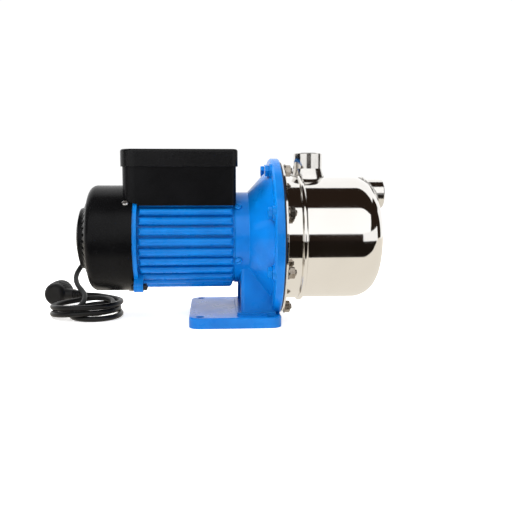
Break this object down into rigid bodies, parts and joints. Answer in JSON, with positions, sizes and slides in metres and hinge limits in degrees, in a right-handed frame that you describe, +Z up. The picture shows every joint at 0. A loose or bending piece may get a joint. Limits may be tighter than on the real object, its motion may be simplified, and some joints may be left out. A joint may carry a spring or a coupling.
{
  "type": "jet pump",
  "caption": "Self-priming jet pump: finned electric motor with terminal box, cast bracket and foot, stainless steel body with top discharge port and front suction port, mains lead",
  "frame": {"origin": "centre of the four foot bolt holes, on the underside of the foot", "axes": "+X along the shaft from the fan towards the suction port, +Y to the left seen from the fan, +Z up, along the discharge port"},
  "size_m": [0.4575, 0.2531, 0.215],
  "materials": {
    "black_cover_plastic": "satin moulded",
    "fan_plastic": "moulded",
    "black_box_plastic": "fine grained moulded",
    "black_lid_plastic": "fine grained moulded",
    "zinc_screws": "zinc plated",
    "zinc_bolts": "zinc plated",
    "black_bolts": "black oxide",
    "spring_steel": "phosphated",
    "blue_paint": "gloss paint on casting",
    "bearing_steel": "ground",
    "core_steel": "laminated",
    "winding_copper": "varnished wire",
    "shaft_steel": "ground",
    "black_rubber": "moulded",
    "capacitor_can": "drawn",
    "block_plastic": "moulded",
    "terminal_brass": "bright",
    "gland_plastic": "moulded nylon",
    "cord_rubber": "extruded",
    "plug_rubber": "moulded",
    "plug_pin_metal": "nickel plated",
    "stainless_sheet": "pressed sheet",
    "seal_ceramic": "lapped ceramic",
    "seal_carbon": "carbon face",
    "impeller_plastic": "glass filled",
    "polished_stainless": "polished",
    "port_stainless": "turned and polished"
  },
  "bodies": {
    "pump_frame": {"fan_cover": "black_cover_plastic", "terminal_box": "black_box_plastic", "terminal_box_lid": "black_lid_plastic", "fan_cover_screws": "zinc_screws", "ear_bolts": "black_bolts", "shield_screws": "zinc_screws", "lid_screws": "zinc_screws", "box_screws": "zinc_screws", "bracket_screws": "blue_paint", "flange_bolts": "blue_paint", "flange_nuts": "zinc_bolts", "flange_washers": "zinc_bolts", "wave_spring": "spring_steel", "bearing_circlip": "spring_steel", "capacitor_clip": "spring_steel", "rear_end_shield": "blue_paint", "motor_housing": "blue_paint", "motor_bracket": "blue_paint", "rear_bearing_outer_race": "bearing_steel", "front_bearing_outer_race": "bearing_steel", "stator_core": "core_steel", "stator_windings": "winding_copper", "lid_gasket": "black_rubber", "body_gasket": "black_rubber", "ejector_o_ring": "black_rubber", "run_capacitor": "capacitor_can", "terminal_block": "block_plastic", "terminal_screws": "terminal_brass", "cable_gland": "gland_plastic", "gland_lock_nut": "gland_plastic", "gland_cap": "gland_plastic", "cord_strain_relief": "cord_rubber", "power_cord": "cord_rubber", "power_cord_coil": "cord_rubber", "power_cord_tail": "cord_rubber", "plug_body": "plug_rubber", "plug_pins": "plug_pin_metal", "casing_cover": "stainless_sheet", "seal_seat": "seal_ceramic", "diffuser": "impeller_plastic", "ejector_body": "impeller_plastic", "venturi_tube": "impeller_plastic", "ejector_nozzle": "impeller_plastic", "pump_body": "polished_stainless", "discharge_port": "port_stainless", "suction_port": "port_stainless"},
    "rotor_line": {"cooling_fan": "fan_plastic", "fan_clip": "spring_steel", "motor_shaft": "shaft_steel", "rotor_core": "core_steel", "rear_bearing_inner_race": "bearing_steel", "front_bearing_inner_race": "bearing_steel", "water_slinger": "black_rubber", "seal_head": "seal_carbon", "seal_spring": "spring_steel", "impeller": "impeller_plastic", "impeller_key": "shaft_steel", "impeller_nut": "shaft_steel"},
    "rear_ball_set": {"rear_bearing_balls": "bearing_steel"},
    "front_ball_set": {"front_bearing_balls": "bearing_steel"}
  },
  "joints": [
    {"name": "shaft_spin", "type": "hinge", "parent": "pump_frame", "child": "rotor_line", "pos_m": [0, 0, 0.104], "axis": [1, 0, 0], "continuous": true},
    {"name": "rear_cage_spin", "type": "hinge", "parent": "pump_frame", "child": "rear_ball_set", "pos_m": [0, 0, 0.104], "axis": [1, 0, 0], "continuous": true},
    {"name": "front_cage_spin", "type": "hinge", "parent": "pump_frame", "child": "front_ball_set", "pos_m": [0, 0, 0.104], "axis": [1, 0, 0], "continuous": true}
  ],
  "couplings": [
    {"joint": "rear_cage_spin", "follows": "shaft_spin", "ratio": 0.38},
    {"joint": "front_cage_spin", "follows": "shaft_spin", "ratio": 0.38}
  ]
}
